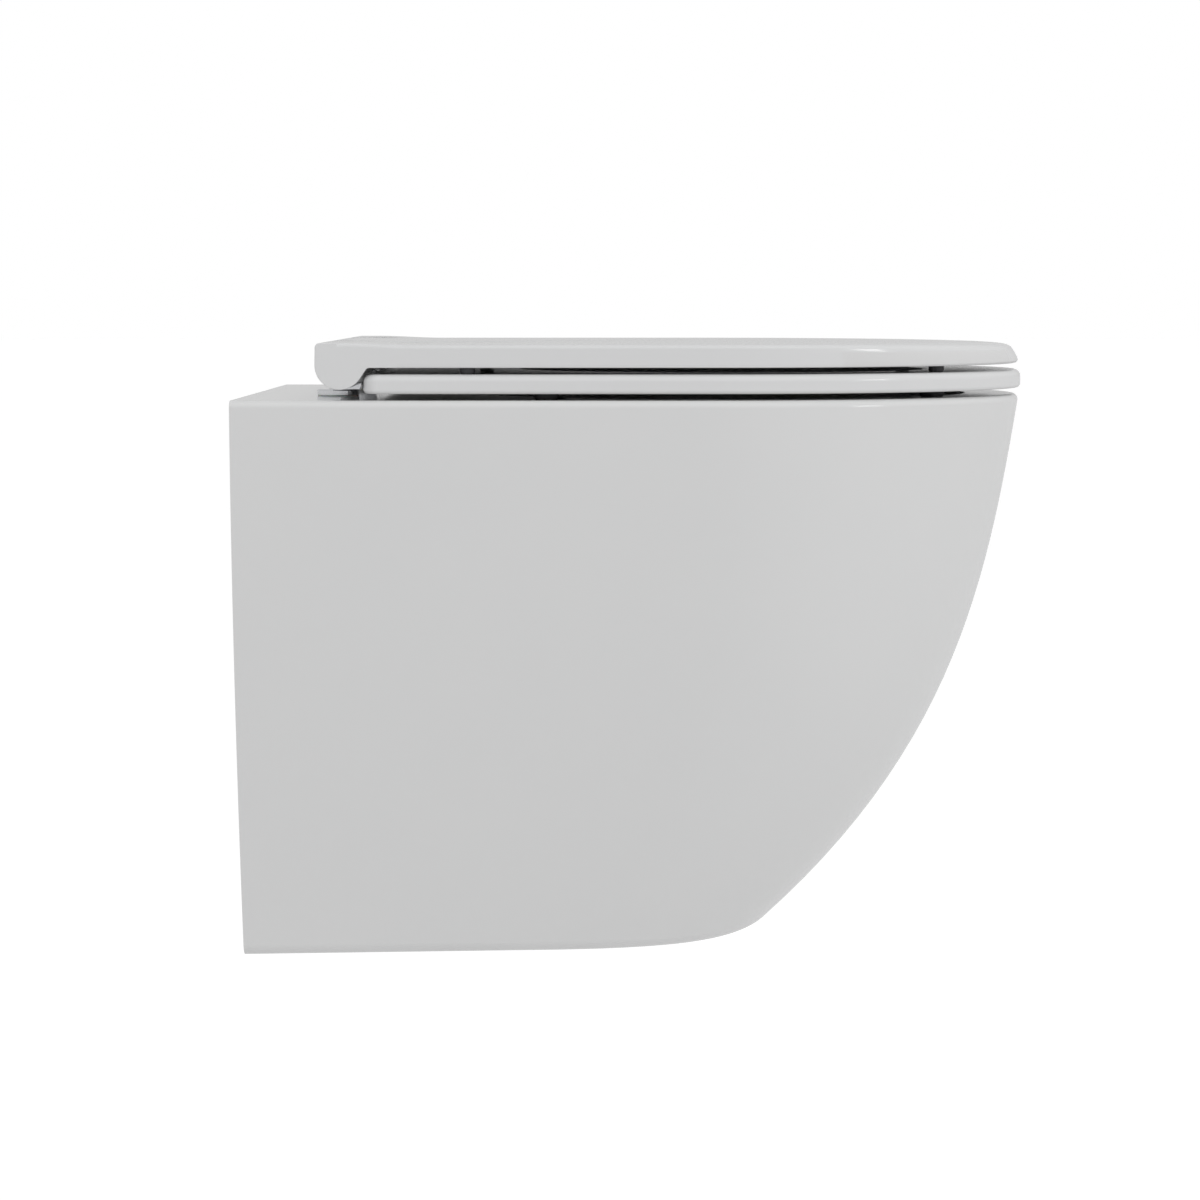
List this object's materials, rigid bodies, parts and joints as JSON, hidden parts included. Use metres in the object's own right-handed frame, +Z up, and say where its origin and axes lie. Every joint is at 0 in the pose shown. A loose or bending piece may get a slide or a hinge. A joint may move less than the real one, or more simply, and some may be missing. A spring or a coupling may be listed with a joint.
{
  "type": "wall hung toilet",
  "caption": "Wall hung toilet with a smooth shrouded ceramic pan, hidden wall fixings, and a soft-close seat and lid on one hinge axis at the rear.",
  "frame": {"origin": "midway between the two wall studs, on the finished wall's plane", "axes": "+Z up, +Y into the wall, the pan's front points to -Y, X across the pan"},
  "size_m": [0.36, 0.522, 0.4022],
  "materials": {
    "ceramic": "high-gloss white glaze",
    "duroplast": "polished white moulded plastic",
    "chrome": "bright chrome",
    "steel": "zinc-plated satin",
    "brass": "turned brass",
    "nylon": "natural moulded nylon",
    "clear_rubber": "translucent soft rubber",
    "black_rubber": "black rubber"
  },
  "bodies": {
    "pan": {"pan_shroud": "ceramic", "pan_well": "ceramic", "pan_funnel": "ceramic", "pan_sump": "ceramic", "pan_trapway": "ceramic", "pan_flush_channel": "ceramic", "pan_shelf": "ceramic", "wall_bracket_right": "steel", "wall_bracket_left": "steel", "stud_washers": "steel", "stud_nuts": "steel", "clamp_screws": "steel", "clamp_washers": "nylon", "hinge_post_right": "chrome", "hinge_post_left": "chrome", "hinge_base_right": "chrome", "hinge_base_left": "chrome", "hinge_gasket_right": "clear_rubber", "hinge_gasket_left": "clear_rubber", "hinge_pin_right": "steel", "hinge_pin_left": "steel", "hinge_anchor_right": "black_rubber", "hinge_anchor_left": "black_rubber", "hinge_bolts": "steel", "anchor_nuts": "brass", "pin_set_screws": "steel"},
    "seat": {"seat": "duroplast", "seat_buffers": "black_rubber", "seat_damper": "nylon", "seat_bush": "nylon"},
    "lid": {"lid": "duroplast", "lid_buffers": "black_rubber", "lid_bush": "nylon", "lid_damper": "nylon"}
  },
  "joints": [
    {"name": "seat_hinge", "type": "hinge", "parent": "pan", "child": "seat", "pos_m": [0, -0.068, 0.122], "axis": [-1, 0, 0], "range_deg": [0, 93]},
    {"name": "lid_hinge", "type": "hinge", "parent": "seat", "child": "lid", "pos_m": [0, -0.068, 0.122], "axis": [-1, 0, 0], "range_deg": [0, 93]}
  ]
}
